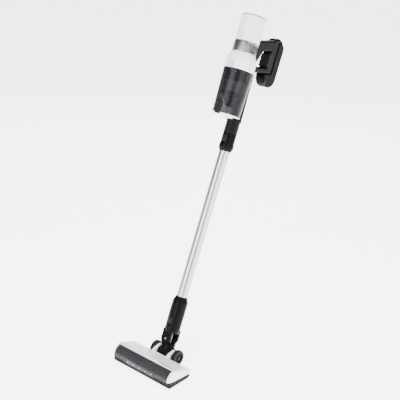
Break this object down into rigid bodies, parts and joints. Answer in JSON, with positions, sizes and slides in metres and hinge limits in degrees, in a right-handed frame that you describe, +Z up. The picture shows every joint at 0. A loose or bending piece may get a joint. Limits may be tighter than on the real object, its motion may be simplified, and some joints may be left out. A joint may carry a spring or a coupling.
{
  "type": "cordless stick vacuum",
  "caption": "Cordless stick vacuum: white motor unit with smoked dust bin and loop handle, metal wand, jointed neck and powered floor head.",
  "frame": {"origin": "centre of the glide strip's underside, on the floor under the floor head", "axes": "+X along the floor head to the right, +Y to the back where the stick leans, +Z up"},
  "size_m": [0.24, 0.6442, 1.0594],
  "materials": {
    "white_shell": "satin white moulded plastic",
    "top_panel": "fine-textured light grey plastic",
    "display": "black glossy display window",
    "ring_metal": "warm grey metallic paint",
    "button_grey": "mid grey plastic",
    "smoke_clear": "smoked transparent plastic",
    "lid_plastic": "pale plastic",
    "seal_rubber": "soft seal",
    "cyclone_grey": "dark moulded plastic",
    "mesh_steel": "perforated steel",
    "dark_plastic": "fine-textured near-black plastic",
    "socket_grey": "dark grey plastic",
    "control_black": "dark grey buttons",
    "battery_black": "near-black plastic",
    "wand_metal": "pale satin anodised",
    "steel": "plain steel",
    "motor_metal": "plain",
    "filter_cloth": "pleated filter paper and felt",
    "board": "green circuit board",
    "cell_wrap": "shrink-wrapped cells",
    "wire_sleeve": "flat cable sleeve",
    "lamp_lens": "clear strip over the lamps",
    "hose_grey": "ribbed flexible hose",
    "brush_core_plastic": "dark core",
    "brush_fibre": "tufted fibre rows",
    "wheel_tyre": "soft tread",
    "wheel_hub": "dark grey hub"
  },
  "bodies": {
    "handheld": {"motor_housing": "white_shell", "top_rim": "white_shell", "top_cap": "top_panel", "display_lens": "display", "exhaust_ring": "ring_metal", "shoulder_cover": "white_shell", "motor_case": "motor_metal", "motor_core": "motor_metal", "hepa_filter": "filter_cloth", "pre_filter": "filter_cloth", "control_board": "board", "duct_spine": "dark_plastic", "wand_socket": "socket_grey", "handle_left": "dark_plastic", "handle_right": "dark_plastic", "grip_pad": "seal_rubber", "handle_screws": "steel", "battery_terminals": "steel"},
    "impeller": {"impeller": "cyclone_grey"},
    "power_button": {"power_button": "control_black"},
    "mode_button": {"mode_button": "control_black"},
    "bin_release": {"bin_release": "button_grey"},
    "dust_bin": {"bin_shell": "smoke_clear", "mesh_shroud": "mesh_steel", "cyclone_body": "cyclone_grey"},
    "bin_lid": {"bin_lid": "lid_plastic", "lid_seal": "seal_rubber"},
    "lid_latch": {"lid_latch": "button_grey"},
    "battery": {"battery_case": "battery_black", "battery_cells": "cell_wrap"},
    "battery_latch": {"battery_latch": "control_black"},
    "wand": {"wand_tube": "wand_metal", "wand_inserts": "dark_plastic", "wand_wiring": "wire_sleeve"},
    "wand_release": {"wand_release": "control_black"},
    "foot": {"foot_collar": "socket_grey", "steering_pins": "steel"},
    "foot_release": {"foot_release": "control_black"},
    "neck": {"neck_body": "dark_plastic", "flexible_hose": "hose_grey"},
    "floor_head": {"head_base": "dark_plastic", "head_cover": "white_shell", "brush_window": "smoke_clear", "end_cap_left": "white_shell", "end_cap_right": "white_shell", "led_lens": "lamp_lens", "glide_strip": "seal_rubber", "brush_motor": "motor_metal", "drive_belt": "wire_sleeve", "axle_pins": "steel"},
    "brush_roll": {"brush_core": "brush_core_plastic", "brush_bristles": "brush_fibre"},
    "motor_pulley": {"motor_pulley": "steel"},
    "wheel_left": {"wheel_tyre_left": "wheel_tyre", "wheel_hub_left": "wheel_hub"},
    "wheel_right": {"wheel_tyre_right": "wheel_tyre", "wheel_hub_right": "wheel_hub"},
    "roller_left": {"front_roller_left": "wheel_tyre"},
    "roller_right": {"front_roller_right": "wheel_tyre"},
    "brush_release": {"brush_release": "control_black"}
  },
  "joints": [
    {"name": "impeller_spin", "type": "hinge", "parent": "handheld", "child": "impeller", "pos_m": [0, 0.4071, 0.95503], "axis": [0, 0.3907, 0.9205], "continuous": true},
    {"name": "power_press", "type": "slide", "parent": "handheld", "child": "power_button", "axis": [0, -0.0871, -0.9962], "range_m": [0, 0.0012], "stiffness_N_per_m": 400, "springref_m": -0.0006},
    {"name": "mode_press", "type": "slide", "parent": "handheld", "child": "mode_button", "axis": [0, -0.0871, -0.9962], "range_m": [0, 0.0012], "stiffness_N_per_m": 400, "springref_m": -0.0006},
    {"name": "bin_release_press", "type": "slide", "parent": "handheld", "child": "bin_release", "axis": [0, 0.9205, -0.3907], "range_m": [0, 0.002], "stiffness_N_per_m": 400, "springref_m": -0.0006},
    {"name": "bin_pull", "type": "slide", "parent": "handheld", "child": "dust_bin", "axis": [0, -0.9205, 0.3907], "range_m": [0, 0.06]},
    {"name": "bin_lid_hinge", "type": "hinge", "parent": "dust_bin", "child": "bin_lid", "pos_m": [0, 0.34018, 0.74618], "axis": [1, 0, 0], "range_deg": [0, 80]},
    {"name": "lid_latch_slide", "type": "slide", "parent": "dust_bin", "child": "lid_latch", "axis": [0, -0.3907, -0.9205], "range_m": [0, 0.004], "stiffness_N_per_m": 400, "springref_m": -0.0006},
    {"name": "battery_slide", "type": "slide", "parent": "handheld", "child": "battery", "axis": [0, -0.3907, -0.9205], "range_m": [0, 0.15]},
    {"name": "battery_latch_press", "type": "slide", "parent": "battery", "child": "battery_latch", "axis": [-1, 0, 0], "range_m": [0, 0.002], "stiffness_N_per_m": 400, "springref_m": -0.0006},
    {"name": "wand_slide", "type": "slide", "parent": "handheld", "child": "wand", "axis": [0, -0.3907, -0.9205], "range_m": [0, 0.065]},
    {"name": "wand_release_press", "type": "slide", "parent": "handheld", "child": "wand_release", "axis": [0, 0.9205, -0.3907], "range_m": [0, 0.0012], "stiffness_N_per_m": 400, "springref_m": -0.0006},
    {"name": "foot_slide", "type": "slide", "parent": "wand", "child": "foot", "axis": [0, -0.3907, -0.9205], "range_m": [0, 0.054]},
    {"name": "foot_release_press", "type": "slide", "parent": "foot", "child": "foot_release", "axis": [0, 0.9205, -0.3907], "range_m": [0, 0.0012], "stiffness_N_per_m": 400, "springref_m": -0.0006},
    {"name": "neck_steer", "type": "hinge", "parent": "foot", "child": "neck", "pos_m": [0, 0.084, 0.071], "axis": [0, 0.9205, -0.3907], "range_deg": [-50, 50], "deforming": ["flexible_hose"]},
    {"name": "head_tilt", "type": "hinge", "parent": "neck", "child": "floor_head", "pos_m": [0, 0.072, 0.025], "axis": [1, 0, 0], "range_deg": [-23, 60]},
    {"name": "brush_spin", "type": "hinge", "parent": "floor_head", "child": "brush_roll", "pos_m": [0, -0.02, 0.0234], "axis": [1, 0, 0], "continuous": true},
    {"name": "motor_pulley_spin", "type": "hinge", "parent": "floor_head", "child": "motor_pulley", "pos_m": [-0.1015, 0.027, 0.0195], "axis": [1, 0, 0], "continuous": true},
    {"name": "wheel_left_spin", "type": "hinge", "parent": "floor_head", "child": "wheel_left", "pos_m": [-0.045, 0.072, 0.025], "axis": [1, 0, 0], "continuous": true},
    {"name": "wheel_right_spin", "type": "hinge", "parent": "floor_head", "child": "wheel_right", "pos_m": [0.045, 0.072, 0.025], "axis": [1, 0, 0], "continuous": true},
    {"name": "roller_left_spin", "type": "hinge", "parent": "floor_head", "child": "roller_left", "pos_m": [-0.092, -0.041, 0.0052], "axis": [1, 0, 0], "continuous": true},
    {"name": "roller_right_spin", "type": "hinge", "parent": "floor_head", "child": "roller_right", "pos_m": [0.092, -0.041, 0.0052], "axis": [1, 0, 0], "continuous": true},
    {"name": "brush_release_slide", "type": "slide", "parent": "floor_head", "child": "brush_release", "axis": [-1, 0, 0], "range_m": [0, 0.003], "stiffness_N_per_m": 400, "springref_m": -0.0006}
  ],
  "couplings": [
    {"joint": "motor_pulley_spin", "follows": "brush_spin", "ratio": 1.8}
  ]
}
